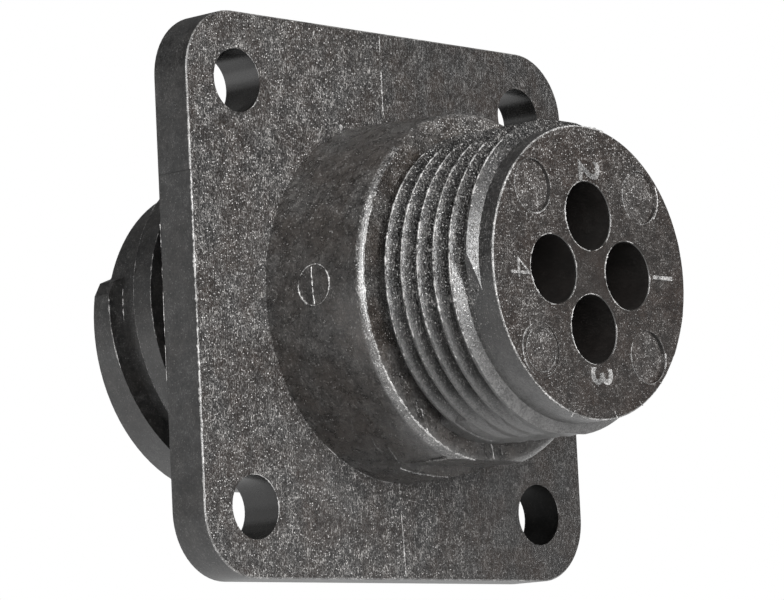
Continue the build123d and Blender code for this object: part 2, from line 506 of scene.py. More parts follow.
def painted_rim_highlight(n, x, y, z):
    """Painted highlight: grey along the lower part of the collar's front edge, widening the
    rim's highlight.
    """
    level = n.math("MULTIPLY", n.span(from_axis(n, x, z), 8.45, 8.8), n.span(y, -5.75, -6.15))
    return n.math("MULTIPLY", level, n.span(z, -2.0, -5.0, 0.0, 0.5))


def sleek_turns(n, x, y, z):
    """Roughness of the thread: the upper turns are sleeker than the last one and the rest."""
    level = n.math("MULTIPLY", n.span(y, -12.1, -11.9, 0.0, -0.1), n.span(z, -3.0, 1.0))
    return n.math("ADD", level, 0.32)


def sleek_ring(n, x, y, z):
    """Roughness of the collar: the ring face around the thread is sleeker than the side."""
    level = n.math("MULTIPLY", n.span(y, -6.17, -6.24, 0.0, -0.09), n.span(z, -4.0, 0.0))
    return n.math("ADD", level, 0.28)


def near_discs(n, x, y, z):
    """1 inside the ejector marks of the wire face, and 0 outside."""
    across = n.math("SUBTRACT", n.math("ABSOLUTE", x), EJECTOR_X)
    up = n.math("SUBTRACT", n.math("ABSOLUTE", z), EJECTOR_Z)
    return n.span(from_axis(n, across, up), 1.1, 1.45, 1.0, 0.0)


def worn_face(n, x, y, z):
    """Glass in the ejector marks and along the top and left of the wire face."""
    discs = near_discs(n, x, y, z)
    level = n.span(from_axis(n, x, z), 1.0, 3.5, 0.4, 1.0)
    level = n.math("MULTIPLY_ADD", discs, 1.3, level)
    level = n.math("ADD", level, n.span(x, -1.0, -5.0, 0.0, 1.0))
    return n.math("ADD", level, n.span(z, 2.0, 6.0, 0.0, 1.7))


def disc_haze(n, x, y, z):
    """Faint bloom in the ejector marks."""
    return n.math("MULTIPLY", near_discs(n, x, y, z), 0.1)


def flange_smear(n, x, y, z):
    """Pale smear beside the collar's lower left, and a faint bloom on the right."""
    across = n.math("MULTIPLY_ADD", x, 0.785, 10.3)
    across = n.math("ABSOLUTE", n.math("MULTIPLY_ADD", z, 0.62, across))
    level = n.math("MULTIPLY", n.span(across, 0.2, 1.7, 0.13, 0.0), n.span(z, -12.5, -10.0))
    level = n.math("MULTIPLY", level, n.span(z, -5.0, -7.0))
    return n.math("ADD", level, n.span(n.math("MULTIPLY_ADD", z, 0.2, x), 0.0, 7.0, 0.0, 0.055))


# %% Materials
GLASS = (0.42, 0.405, 0.39)
PALE_GLASS = (0.62, 0.61, 0.6)
SMOOTH_LEVELS = (0.3, 0.01, 0.02, 0.0)
WORN_LEVELS = (0.9, 0.5, 0.4, 0.4)

flange_nylon = nylon(
    "nylon_flange",
    brown=(0.0152, 0.0106, 0.0083),
    grey=(0.0140, 0.0131, 0.0127),
    glass=GLASS,
    levels=(0.6, 1.0, 0.48, 1.6),
    roughness=0.32,
    depth=0.07,
    amount=fade_to_right,
    gloss=0.71,
    haze_and_sheen=flange_smear,
)
collar_nylon = nylon(
    "nylon_collar",
    brown=(0.0282, 0.0236, 0.0206),
    grey=(0.0286, 0.0273, 0.0263),
    glass=GLASS,
    levels=(0.6, 0.14, 0.18, 0.5),
    roughness=sleek_ring,
    depth=0.006,
    amount=patch_on_top,
    haze_and_sheen=painted_rim_highlight,
)
thread_nylon = nylon(
    "nylon_thread",
    brown=(0.0066, 0.0058, 0.0053),
    grey=(0.0073, 0.0071, 0.007),
    glass=GLASS,
    levels=(1.3, 0.85, 0.25, 1.6),
    roughness=sleek_turns,
    depth=0.03,
    amount=worn_below,
    haze_and_sheen=painted_sheen_below,
)
face_nylon = nylon(
    "nylon_wire_face",
    brown=(0.0145, 0.0095, 0.0072),
    grey=(0.0145, 0.0117, 0.0102),
    glass=GLASS,
    levels=(0.45, 0.06, 0.17, 0.35),
    roughness=0.32,
    depth=0.013,
    amount=worn_face,
    gloss=0.9,
    haze_and_sheen=disc_haze,
)
side_nylon = nylon(
    "nylon_polished",
    brown=(0.0148, 0.0138, 0.013),
    grey=(0.0143, 0.0143, 0.0143),
    glass=GLASS,
    levels=(0.9, 0.05, 0.1, 0.2),
    roughness=0.38,
    depth=0.01,
    gloss=0.85,
)
hole_nylon = nylon(
    "nylon_hole",
    brown=(0.012, 0.0115, 0.011),
    grey=(0.012, 0.012, 0.012),
    glass=GLASS,
    levels=SMOOTH_LEVELS,
    roughness=0.27,
    depth=0.003,
    gloss=0.72,
)
# Near-black, dull nylon for the wall of the lower right screw hole: painted shade.
hole_shade_nylon = nylon(
    "nylon_painted_shade_hole",
    brown=(0.005, 0.0048, 0.0046),
    grey=(0.005, 0.005, 0.005),
    glass=GLASS,
    levels=SMOOTH_LEVELS,
    roughness=0.5,
    depth=0.003,
    gloss=0.1,
)
# Darker nylon for the cavity bores, and for the ejector dents' walls as painted shade.
bore_dent_shade_nylon = nylon(
    "nylon_bore_dent_painted_shade",
    brown=(0.010, 0.008, 0.007),
    grey=(0.009, 0.008, 0.0072),
    glass=GLASS,
    levels=SMOOTH_LEVELS,
    roughness=0.45,
    depth=0.004,
)
# Paler nylon for edges, chamfers, pin rings and the rolled edge: partly real wear, and partly a
# painted highlight along the edges.
worn_edge_highlight_nylon = nylon(
    "nylon_worn_edge_painted_highlight",
    brown=(0.070, 0.067, 0.064),
    grey=(0.095, 0.093, 0.091),
    glass=PALE_GLASS,
    levels=WORN_LEVELS,
    roughness=0.25,
    depth=0.02,
)
# Paler nylon for the collar's rounded front edge, except at its top: a worn edge, and partly a
# painted highlight where the lamp's line falls.
rim_highlight_nylon = nylon(
    "nylon_rim_painted_highlight",
    brown=(0.032, 0.030, 0.0285),
    grey=(0.044, 0.042, 0.040),
    glass=PALE_GLASS,
    levels=(1.0, 0.6, 0.4, 1.3),
    roughness=0.19,
    depth=0.012,
    haze_and_sheen=painted_rim_highlight,
)
# Very pale nylon for burrs, flash, crest lines and marks: partly whitened flash, and partly a
# painted highlight along these thin ridges.
flash_highlight_nylon = nylon(
    "nylon_flash_painted_highlight",
    brown=(0.20, 0.195, 0.19),
    grey=(0.32, 0.315, 0.31),
    glass=PALE_GLASS,
    levels=WORN_LEVELS,
    roughness=0.25,
    depth=0.02,
)
# Pale nylon for the raised numbers: a painted highlight, standing in for the light their strokes
# catch.
number_highlight_nylon = nylon(
    "nylon_number_painted_highlight",
    brown=(0.09, 0.088, 0.086),
    grey=(0.20, 0.197, 0.193),
    glass=PALE_GLASS,
    levels=(1.0, 0.9, 1.0, 0.6),
    roughness=0.25,
    depth=0.03,
)
print("materials:", [m.name for m in bpy.data.materials])

# %% [markdown]
# The visible skin starts as a copy of the CAD mesh, so its shape and size can't drift.
# That mesh is loose triangles, which is why the copy is merged before it is cut.

# %% Skin: copy and merge the CAD mesh
skin = bpy.data.objects.new("receptacle_skin", frame["nodes"][CAD_NODE].data.copy())
bpy.context.scene.collection.objects.link(skin)
pick(skin)
bpy.ops.mesh.customdata_custom_splitnormals_clear()
bpy.ops.object.mode_set(mode="EDIT")
bpy.ops.mesh.select_all(action="SELECT")
bpy.ops.mesh.remove_doubles(threshold=1e-6)
bpy.ops.object.mode_set(mode="OBJECT")
print("merged skin:", len(skin.data.vertices), "vertices,", len(skin.data.polygons), "faces")

# %% [markdown]
# Where the mould halves meet below the neck, the grooves of the thread don't end at a
# wall: they run out over a few millimetres. Lifting the groove's vertices towards the
# land, more and more along the turn, gives that run-out.

# %% Skin: groove run-out at the lower land
FILL_FROM = (224, 252)
FILL_UNTIL = (294, 320)


def smooth(value, low, high):
    """0 below low, 1 above high, and a soft step between."""
    t = min(1.0, max(0.0, (value - low) / (high - low)))
    return t * t * (3 - 2 * t)


def crest_y(angle):
    """Place along Y of the thread's crest, at a total angle in degrees."""
    return -(FIRST_CREST + PITCH * (angle - FIRST_ANGLE) / 360)


lifted = 0
for vertex in skin.data.vertices:
    x, y, z = vertex.co / MM
    radius = math.hypot(x, z)
    angle = math.degrees(math.atan2(z, x)) % 360
    first = crest_y(FIRST_ANGLE + (angle - FIRST_ANGLE) % 360)
    last = crest_y(LAST_ANGLE - (LAST_ANGLE - angle) % 360)
    fill = smooth(angle, *FILL_FROM) - smooth(angle, *FILL_UNTIL)
    floor_radius = ROOT_RADIUS + fill * (LAND_RADIUS - ROOT_RADIUS)
    if last < y < first and ROOT_RADIUS - 0.05 < radius < floor_radius:
        vertex.co.x *= floor_radius / radius
        vertex.co.z *= floor_radius / radius
        lifted += 1
print("vertices lifted:", lifted)

# %% [markdown]
# The flange's front edge and the cavity mouths are chamfered in the CAD model. On the
# real moulding these chamfers are worn to little more than a line, so their vertices
# are drawn together, by a few hundredths of a millimetre, and the forms stay.

# %% Skin: finer edges
WORN_CHAMFER = 0.07
WORN_MOUTH_RADIUS = 1.76
WORN_MOUTH_DEPTH = 0.04
NEAR = 0.01


def rim_offset(x, z):
    """Distance to the flange's outline (negative inside) and the way out to it."""
    across, up = abs(x) - CORNER_PLACE, abs(z) - CORNER_PLACE
    if across > 0 and up > 0:
        reach = math.hypot(across, up)
        way = (across / reach, up / reach)
        gap = reach - CORNER_RADIUS
    else:
        way = (1, 0) if across > up else (0, 1)
        gap = max(across, up) - CORNER_RADIUS
    return gap, (math.copysign(way[0], x), math.copysign(way[1], z))


drawn = 0
for vertex in skin.data.vertices:
    x, y, z = vertex.co / MM
    if max(abs(x), abs(z)) > CORNER_PLACE:
        gap, way = rim_offset(x, z)
        if abs(gap) < NEAR and abs(y - EDGE_CHAMFER) < NEAR:
            vertex.co.y = WORN_CHAMFER * MM
            drawn += 1
        elif abs(gap + EDGE_CHAMFER) < NEAR and abs(y) < NEAR:
            vertex.co.x += way[0] * (EDGE_CHAMFER - WORN_CHAMFER) * MM
            vertex.co.z += way[1] * (EDGE_CHAMFER - WORN_CHAMFER) * MM
            drawn += 1
    elif y < FACE_Y + NEAR:
        for a, b in CAVITIES:
            reach = math.hypot(x - a, z - b)
            if abs(reach - CAVITY_RADIUS - EDGE_CHAMFER) < NEAR:
                vertex.co.x = (a + (x - a) * WORN_MOUTH_RADIUS / reach) * MM
                vertex.co.z = (b + (z - b) * WORN_MOUTH_RADIUS / reach) * MM
                drawn += 1
    elif abs(y - FACE_Y - EDGE_CHAMFER) < NEAR:
        vertex.co.y = (FACE_Y + WORN_MOUTH_DEPTH) * MM
        drawn += 1
print("edge vertices drawn together:", drawn)

# %% [markdown]
# Ejector pins leave round, shallow dents on the wire face, and an insert pin leaves a
# flat disc with a split down the middle on the collar's left side. Each is cut with a
# low cylinder by a Boolean modifier, as a pin really presses them. Three of the ejector
# pins stood a little askew, so their dents are deeper on one side. The flange's left
# side has a plain, shallow field, which is cut with a box.

# %% Skin: ejector and insert pin marks
EJECTOR_RADIUS = 1.35
# Place along X and Z, depth, and tilt in degrees
EJECTORS = (
    (-EJECTOR_X, EJECTOR_Z, 0.11, 4.5),
    (EJECTOR_X, EJECTOR_Z, 0.11, 4.5),
    (-EJECTOR_X, -EJECTOR_Z, 0.04, 1.0),
    (EJECTOR_X, -EJECTOR_Z, 0.11, 4.5),
)
INSERT_PIN = (-9.17, -3.2, 0.08)
INSERT_RADIUS = 1.03
FIELD_PLACE = (-14.75, 1.2, 0.05)
FIELD_SIZE = (1.02, 4.0, 11.8)


def pin(name, place, radius, depth, turn):
    """Low cylinder that stands for the end of a mould pin."""
    bpy.ops.object.select_all(action="DESELECT")
    bpy.ops.mesh.primitive_cylinder_add(
        vertices=64,
        radius=radius * MM,
        depth=depth * MM,
        location=[value * MM for value in place],
        rotation=turn,
    )
    cutter = bpy.context.active_object
    cutter.name = name
    settle(cutter)
    return cutter


def cut(piece, cutters):
    """Cuts each cutter out of a piece and removes it."""
    for cutter in cutters:
        modifier = piece.modifiers.new(cutter.name, "BOOLEAN")
        modifier.operation = "DIFFERENCE"
        modifier.solver = "EXACT"
        modifier.object = cutter
    apply_all(piece)
    for cutter in cutters:
        bpy.data.objects.remove(cutter)


quarter = math.pi / 2
pins = []
for x, z, depth, tilt in EJECTORS:
    turn = (quarter, 0, math.radians(tilt))
    pins.append(pin("ejector_pin", (x, FACE_Y + depth - 0.5, z), EJECTOR_RADIUS, 1.0, turn))
pin_x, pin_y, pin_z = INSERT_PIN
pins.append(pin("insert_pin", (pin_x - 1.0, pin_y, pin_z), INSERT_RADIUS, 2.0, (0, quarter, 0)))
bpy.ops.object.select_all(action="DESELECT")
bpy.ops.mesh.primitive_cube_add(size=1.0, location=[value * MM for value in FIELD_PLACE])
field = bpy.context.active_object
field.name = "side_field"
field.scale = [value * MM for value in FIELD_SIZE]
settle(field)
pins.append(field)
cut(skin, pins)
print("skin after the pins:", len(skin.data.polygons), "faces")

# %% [markdown]
# Now each face of the skin gets the material of its zone. The zones are told apart by
# place, as they are in the mould: the flange's face, the collar, the neck, the wire
# face, the bores, and all that is polished. Some zones paint light as well: the dent
# walls share the bores' darker material and the lower right screw hole is near black,
# as painted shade, and the paler rim and edges are partly painted highlight.

# %% Skin: material zones
ZONES = [
    flange_nylon, collar_nylon, thread_nylon, face_nylon, side_nylon,
    hole_nylon, bore_dent_shade_nylon, worn_edge_highlight_nylon, rim_highlight_nylon, hole_shade_nylon,
]
FLANGE, COLLAR, THREAD, FACE, SIDE, HOLE, BORE_DENT_SHADE, EDGE_HIGHLIGHT, RIM_HIGHLIGHT, HOLE_SHADE = range(len(ZONES))
RIM_HIGHLIGHT_TOP_Z = 6.9


def zone_of(centre, normal):
    """Zone of a face, from its centre in mm and its normal."""
    x, y, z = centre
    radius = math.hypot(x, z)
    inside = radius < RECESS_RADIUS + 0.04
    from_cavity = min(math.hypot(x - a, z - b) for a, b in CAVITIES)
    from_hole = math.hypot(abs(x) - HOLE_PLACE, abs(z) - HOLE_PLACE)
    slanted = 0.3 < abs(normal.y) < 0.95
    at_front = COLLAR_FRONT_Y - 0.05 < y < COLLAR_FRONT_Y + 0.45
    at_edge = y < EDGE_CHAMFER + NEAR and max(abs(x), abs(z)) > CORNER_PLACE
    if y < RECESS_FLOOR_Y + 0.05 and from_cavity < CAVITY_RADIUS + 0.03:
        return BORE_DENT_SHADE
    # The walls of the ejector dents take the darker bore material: painted shade in the dents.
    if FACE_Y < y < FACE_Y + 0.2 and inside and abs(normal.y) < 0.5:
        return BORE_DENT_SHADE
    # The lower right screw hole's wall takes the near-black material: painted shade inside that
    # hole.
    if from_hole < HOLE_RADIUS + 0.015 and abs(normal.y) < 0.3:
        return HOLE_SHADE if x > 0 > z else HOLE
    # The rounded front edge below its top takes the paler rim material: worn, and partly painted
    # highlight.
    if slanted and at_front and 8.6 < radius < 9.2 and z < RIM_HIGHLIGHT_TOP_Z:
        return RIM_HIGHLIGHT
    # Chamfers at the wire face and the flange's rim take the paler edge material: worn, and partly
    # painted highlight.
    if slanted and (y < FACE_Y + 0.16 or at_edge):
        return EDGE_HIGHLIGHT
    if inside and y > RECESS_FLOOR_Y - 0.15:
        return SIDE
    if y < FACE_Y + 0.12 and radius < ROOT_RADIUS - 0.02:
        return FACE
    if y < COLLAR_FRONT_Y - 0.05 or (y < -6.0 and radius < 8.1 and abs(normal.y) < 0.9):
        return THREAD
    if y < -0.01 and radius < COLLAR_RADIUS + 0.25:
        return COLLAR
    if abs(normal.y) > 0.9 and y < FLANGE_THICKNESS + 0.1:
        return FLANGE
    return SIDE


for material in ZONES:
    skin.data.materials.append(material)
base_slot = len(skin.data.materials) - len(ZONES)
for face in skin.data.polygons:
    face.material_index = base_slot + zone_of(face.center / MM, face.normal)
while base_slot:
    skin.data.materials.pop(index=0)
    base_slot -= 1
print("zones used:", sorted({face.material_index for face in skin.data.polygons}))

# %% [markdown]
# A merged triangle mesh shades as facets. Smooth shading by angle rounds it where the
# real surface is round and keeps the corners, and a Weighted Normal modifier lets the
# large flat faces win over the slivers beside them.

# %% Skin: smooth shading
pick(skin)
bpy.ops.object.shade_smooth_by_angle(angle=math.radians(24))
weighted = skin.modifiers.new("weighted_normals", "WEIGHTED_NORMAL")
weighted.keep_sharp = True
weighted.weight = 60
apply_all(skin)
finish_piece(skin, [])
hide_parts(CAD_NODE)

# %% [markdown]
# Burrs and flash are thin ridges of nylon that were squeezed out where mould parts
# meet. Each is a line of points with an uneven round profile: a poly curve whose bevel
# gets thicker and thinner with noise, turned into a mesh. Where the profile is almost
# nothing, the ridge looks broken, as the real ones are. The noise starts from a fixed
# seed, because noise_vector would otherwise give other ridges in each run.

# %% Helper: uneven bead
noise.seed_set(1)


def bead(name, points, thickness, seed, closed=False, broken=-1.0):
    """Ridge along points in mm; it breaks off where the noise is below broken."""
    curve = bpy.data.curves.new(name, "CURVE")
    curve.dimensions = "3D"
    curve.bevel_depth = thickness * MM
    curve.bevel_resolution = 1
    curve.use_fill_caps = not closed
    line = curve.splines.new("POLY")
    line.points.add(len(points) - 1)
    line.use_cyclic_u = closed
    for point, place in zip(line.points, points):
        place = Vector(place)
        swell = noise.noise(place * 3.0 + Vector((seed, 0, 0)))
        swell += noise.noise(place * 9.0 + Vector((0, 0, seed)))
        swell += noise.noise(place * 17.0 + Vector((seed, 0, seed))) * 0.9
        slow = noise.noise(place * 0.9 + Vector((0, seed, 0)))
        shake = noise.noise_vector(place * 7.0 + Vector((seed, seed, 0)))
        point.co = (*((place + shake * thickness * 0.7) * MM), 1.0)
        point.radius = max(0.15, 1.0 + 1.1 * swell + 0.5 * slow) if slow > broken else 0.05
    piece = bpy.data.objects.new(name, curve)
    bpy.context.scene.collection.objects.link(piece)
    pick(piece)
    bpy.ops.object.convert(target="MESH")
    bpy.ops.object.shade_smooth()
    return piece


def join(name, pieces):
    """Joins pieces into the first one."""
    pick(pieces[0])
    for piece in pieces[1:]:
        piece.select_set(True)
    bpy.ops.object.join()
    pieces[0].name = name
    return pieces[0]


def around(radius, y, turn):
    """Point at a radius from the axis and a turn in radians."""
    return (radius * math.cos(turn), y, radius * math.sin(turn))


def arc(radius, y, start, end, centre=(0.0, 0.0), step=0.07):
    """Points on a circle around Y, from one angle to another."""
    count = max(6, round(abs(math.radians(end - start)) * radius / step))
    steps = count if abs(end - start) >= 360 else count - 1
    turns = [math.radians(start + (end - start) * i / steps) for i in range(count)]
    return [(centre[0] + radius * math.cos(t), y, centre[1] + radius * math.sin(t)) for t in turns]


def straight(start, end, step=0.07):
    """Points on a line between two places."""
    start, end = Vector(start), Vector(end)
    count = max(2, round((end - start).length / step))
    return [start.lerp(end, i / (count - 1)) for i in range(count)]


# %% Burrs around the wire face and the collar's front
burrs = [
    bead("burr", arc(7.345, -13.425, 78, 252, step=0.05), 0.036, 3.0),
    bead("burr", arc(7.345, -13.425, 252, 282), 0.02, 4.0, broken=-0.1),
    bead("burr", arc(7.345, -13.425, 282, 380), 0.008, 5.0, broken=0.0),
    bead("burr", arc(8.80, -6.235, 150, 262, step=0.05), 0.034, 6.0, broken=-0.3),
    bead("burr", arc(8.83, -6.21, 205, 260, step=0.05), 0.03, 6.8, broken=-0.5),
    bead("burr", arc(9.34, -0.02, 233, 266, step=0.06), 0.016, 6.5, broken=-0.3),
]
finish_piece(join("edge_burrs", burrs), [flash_highlight_nylon])

# %% Burrs around the cavity mouths
# Radius, first and last angle, thickness, seed, and the level below which it breaks
MOUTH_BURRS = (
    (1.765, 90, 270, 0.018, 7.0, -0.3),
    (1.77, 145, 225, 0.03, 12.0, -0.15),
    (1.765, -90, 90, 0.014, 8.5, -0.05),
)
mouths = []
for number, centre in enumerate(CAVITIES):
    for radius, start, end, size, seed, broken in MOUTH_BURRS:
        line = arc(radius, FACE_Y, start, end, centre, 0.06)
        mouths.append(bead("mouth", line, size, seed + number, broken=broken))
finish_piece(join("cavity_mouth_burrs", mouths), [flash_highlight_nylon])

# %% [markdown]
# The thread's crests are hardly 0.14 mm wide. On the real part they are rolled over and
# scuffed, so they catch the light as thin uneven lines. The beads follow the crest from
# one land to the next and stay away from the lands, where the crest is wiped flat.

# %% Scuffed thread crests
CREST_RADIUS = 7.93


def crest_points(start, end):
    """Points along the crest between two total angles."""
    count = max(6, round(math.radians(end - start) * CREST_RADIUS / 0.08))
    points = []
    for i in range(count):
        angle = start + (end - start) * i / (count - 1)
        sink = 0.12 * (1 - smooth(angle - start, 0, 14) * smooth(end - angle, 0, 14))
        sink += 0.085 * smooth(angle % 360, 190, 232) * (1 - smooth(angle % 360, 330, 350))
        points.append(around(CREST_RADIUS - sink, crest_y(angle), math.radians(angle)))
    return points


crests = []
for turn in range(6):
    for start, end in ((114, 249), (304, 426)):
        start, end = start + 360 * turn, min(end + 360 * turn, LAST_ANGLE - 24)
        if end - start > 20:
            crests.append(bead("crest", crest_points(start, end), 0.041, 11.0 + turn))
# The crest beads' pale colour is partly a painted highlight along the crests.
finish_piece(join("thread_crest_lines", crests), [flash_highlight_nylon])

# %% Flash around the insert pin
def collar_radius(y):
    """Radius of the collar's drafted side."""
    return COLLAR_RADIUS + y * math.tan(math.radians(COLLAR_DRAFT))


def on_collar(y, z):
    """Point on the collar's side, left of the axis."""
    radius = collar_radius(y)
    return (-math.sqrt(radius * radius - z * z), y, z)


def pin_outline(start, end):
    """Points of the pin's outline on the collar, angle 0 towards the wire side."""
    count = max(6, round(math.radians(abs(end - start)) * INSERT_RADIUS / 0.05))
    points = []
    for i in range(count):
        t = math.radians(start + (end - start) * i / (count - 1))
        y = pin_y - INSERT_RADIUS * math.cos(t)
        points.append(on_collar(y, pin_z + INSERT_RADIUS * math.sin(t)))
    return points


def pin_split(y, z, count):
    """Points down the split in the pin's middle, which leans by 0.05 mm."""
    return [on_collar(y - 0.05 * i / (count - 1), z - 0.12 * i) for i in range(count)]


flash = [
    bead("flash", pin_outline(-75, 150), 0.016, 21.0),
    bead("flash", pin_outline(-20, 38), 0.036, 22.0),
    bead("flash", pin_outline(160, 290), 0.014, 23.0),
    bead("flash", pin_outline(192, 240), 0.042, 24.0),
    bead("flash", pin_split(-3.06, 0.98, 9), 0.034, 25.0),
    bead("flash", pin_split(-3.11, -0.05, 8), 0.026, 26.0),
]
finish_piece(join("insert_pin_flash", flash), [flash_highlight_nylon])

# %% Flash around the ejector pins
rings = []
for number, (x, z, *_) in enumerate(EJECTORS):
    edge = arc(EJECTOR_RADIUS, FACE_Y, 60, 400, (x, z), 0.06)
    rings.append(bead("ring", edge, 0.016, 31.0 + number, broken=-0.12))
    bright = arc(EJECTOR_RADIUS, FACE_Y, 120, 330, (x, z), 0.06)
    rings.append(bead("ring", bright, 0.024, 37.0 + number, broken=-0.2))
inner = arc(1.1, FACE_Y, 0, 360, (-EJECTOR_X, -EJECTOR_Z), 0.06)
rings.append(bead("ring", inner, 0.022, 36.0, closed=True, broken=-0.2))
finish_piece(join("ejector_pin_flash", rings), [worn_edge_highlight_nylon])

# %% Whiskers, parting line and tool marks
# Start, end and thickness
MARKS = [
    ((-2.16, -13.47, -7.28), (-1.88, -13.5, -7.0), 0.022),
    ((-1.88, -13.5, -7.0), (-1.58, -13.47, -6.88), 0.018),
    ((1.22, -13.47, -6.88), (1.42, -13.47, -7.25), 0.028),
    ((3.22, -13.47, -6.30), (3.45, -13.47, -6.52), 0.022),
    ((4.90, -13.47, -5.26), (5.02, -13.47, -5.36), 0.022),
    ((0.02, -6.26, -7.85), (0.12, -6.26, -8.15), 0.03),
    ((0.12, -6.26, -8.2), (0.22, -6.26, -8.62), 0.02),
    ((0.78, -6.26, -7.95), (0.86, -6.26, -8.4), 0.014),
    ((-5.98, -6.2, -5.9), (-5.95, -6.2, -6.5), 0.03),
    ((-5.42, -6.24, -5.94), (-5.36, -6.24, -6.44), 0.02),
    ((-5.06, -6.24, -6.26), (-4.95, -6.24, -6.72), 0.02),
    ((-4.77, -6.22, -7.2), (-4.6, -6.22, -7.55), 0.034),
    ((-6.15, -6.24, -4.95), (-6.0, -6.24, -5.15), 0.02),
    ((-3.38, -0.01, 9.0), (-3.28, -0.01, 9.05), 0.08),
    ((12.75, -0.01, -8.3), (12.83, -0.01, -8.27), 0.06),
    ((-5.1, -0.29, 7.75), (-5.03, -0.29, 7.79), 0.05),
]
# Start, end, step, thickness and break level
SEAMS = [
    ((-0.03, -0.005, 14.15), (-0.02, -0.005, 9.4), 0.07, 0.02, -0.1),
    ((-0.18, -0.005, -9.3), (0.02, -0.005, -14.15), 0.07, 0.021, -0.35),
    ((-14.26, 0.03, 9.8), (-14.26, 0.03, -10.4), 0.06, 0.045, -1.0),
    ((-14.26, 0.035, 2.2), (-14.26, 0.035, 0.2), 0.06, 0.045, -1.0),
    ((-14.27, 2.33, 3.5), (-14.27, 2.33, -4.5), 0.06, 0.013, -0.1),
]
SPECK_ANGLE = 579.7
SPECK_TURNS = (3.81, 3.835, 3.86)
# Radius, first and last angle, centre, thickness and break level
SCRAPES = [
    (1.44, -45, 45, (EJECTOR_X, EJECTOR_Z), 0.03, -0.3),
    (1.4, 120, 300, (-EJECTOR_X, -EJECTOR_Z), 0.026, -0.1),
    (1.42, -30, 60, (EJECTOR_X, -EJECTOR_Z), 0.02, -0.1),
    (1.38, 200, 340, (-EJECTOR_X, EJECTOR_Z), 0.022, -0.05),
]
marks = []
for seed, (start, end, size) in enumerate(MARKS, 41):
    marks.append(bead("mark", straight(start, end, 0.05), size, seed))
for seed, (start, end, step, size, broken) in enumerate(SEAMS, 61):
    marks.append(bead("mark", straight(start, end, step), size, seed, broken=broken))
speck = [around(CREST_RADIUS, crest_y(SPECK_ANGLE), turn) for turn in SPECK_TURNS]
marks.append(bead("mark", speck, 0.06, 66))
for seed, (radius, start, end, centre, size, broken) in enumerate(SCRAPES, 67):
    line = arc(radius, FACE_Y, start, end, centre, 0.05)
    marks.append(bead("mark", line, size, seed, broken=broken))
finish_piece(join("small_burrs", marks), [flash_highlight_nylon])

# %% Burrs around the screw holes
# Centre, first and last angle, and thickness
HOLE_BURRS = [
    ((-HOLE_PLACE, HOLE_PLACE), -58, -10, 0.03),
    ((-HOLE_PLACE, HOLE_PLACE), 12, 62, 0.014),
    ((-HOLE_PLACE, -HOLE_PLACE), -30, 26, 0.024),
    ((-HOLE_PLACE, -HOLE_PLACE), 32, 102, 0.018),
    ((-HOLE_PLACE, -HOLE_PLACE), -72, -44, 0.013),
    ((HOLE_PLACE, -HOLE_PLACE), 5, 120, 0.010),
]
holes = []
for seed, (centre, start, end, size) in enumerate(HOLE_BURRS, 91):
    line = arc(HOLE_RADIUS + 0.01, -0.003, start, end, centre, 0.06)
    holes.append(bead("hole", line, size, seed, broken=-0.25))
finish_piece(join("screw_hole_burrs", holes), [flash_highlight_nylon])

# %% [markdown]
# The coupling ramps behind the flange have the same worn edges. Each ramp climbs 6.3 mm
# in a turn, so a point on its edge follows from the angle alone.

# %% Worn edges of the coupling ramps
def ramp_edge(start, end, offset, radius=RAMP_RADIUS, turn=0.0):
    """Points along a ramp, beside its middle line; the second ramp is a half turn on."""
    count = max(6, round(math.radians(end - start) * radius / 0.06))
    points = []
    for i in range(count):
        angle = start + (end - start) * i / (count - 1)
        y = RAMP_START_Y - RAMP_LEAD * (angle - RAMP_START) / 360 + offset
        points.append(around(radius, y, math.radians(angle + turn)))
    return points


front, back = -RAMP_HALF_WIDTH, RAMP_HALF_WIDTH
foot_radius = BARREL_RADIUS + 0.01
ramp_lines = [
    bead("edge", ramp_edge(171, 196, front), 0.024, 71.0, broken=-0.25),
    bead("edge", ramp_edge(166, 182, front - 0.1, foot_radius), 0.03, 72.0, broken=-0.35),
    bead("edge", ramp_edge(330, 368, front, turn=180), 0.028, 73.0, broken=-0.3),
    bead("edge", ramp_edge(300, 420, back, turn=180), 0.008, 74.0),
]
finish_piece(join("ramp_edge_burrs", ramp_lines), [flash_highlight_nylon])

# %% [markdown]
# Underneath, the collar's flat ends in a rolled edge, and beside it run a few scratches
# with raised lips. All of them follow points on the collar's drafted side.

# %% Rolled edge and scratches under the collar
def under_collar(*places):
    """Dense points on the collar from places given as Y and angle."""
    points = []
    for (y0, a0), (y1, a1) in zip(places, places[1:]):
        for i in range(12):
            y = y0 + (y1 - y0) * i / 12
            turn = math.radians(a0 + (a1 - a0) * i / 12)
            points.append(around(collar_radius(y), y, turn))
    return points


rolled = under_collar((-2.5, 252.5), (-2.65, 257.2), (-2.9, 262.8), (-2.97, 267.4), (-2.98, 272.0))
rolls = [
    bead("roll", rolled, 0.05, 81.0),
    bead("roll", straight((-3.02, -4.6, -8.68), (-3.02, -6.0, -8.68)), 0.04, 82.0),
    bead("roll", under_collar((-3.12, 234.0), (-2.87, 238.0), (-2.87, 241.6)), 0.014, 83.0),
    bead("roll", under_collar((-3.52, 239.3), (-3.29, 244.0), (-2.92, 249.6)), 0.012, 84.0),
]
finish_piece(join("collar_rolled_edge", rolls), [worn_edge_highlight_nylon])

# %% [markdown]
# Each cavity has its number beside it, raised by a twentieth of a millimetre. Text
# starts as a curve in the XY plane, so it becomes a mesh first and is then turned: its
# up goes to +X and its face to the wires.

# %% Cavity numbers
NUMBER_SIZE = 2.25
NUMBER_RELIEF = 0.05
# Place along X and Z, and how much bolder the number is
NUMBERS = {
    "1": (5.5, 0.05, -0.012),
    "2": (0.12, 5.1, 0.03),
    "3": (0.27, -5.2, 0.03),
    "4": (-5.45, -0.1, -0.035),
}


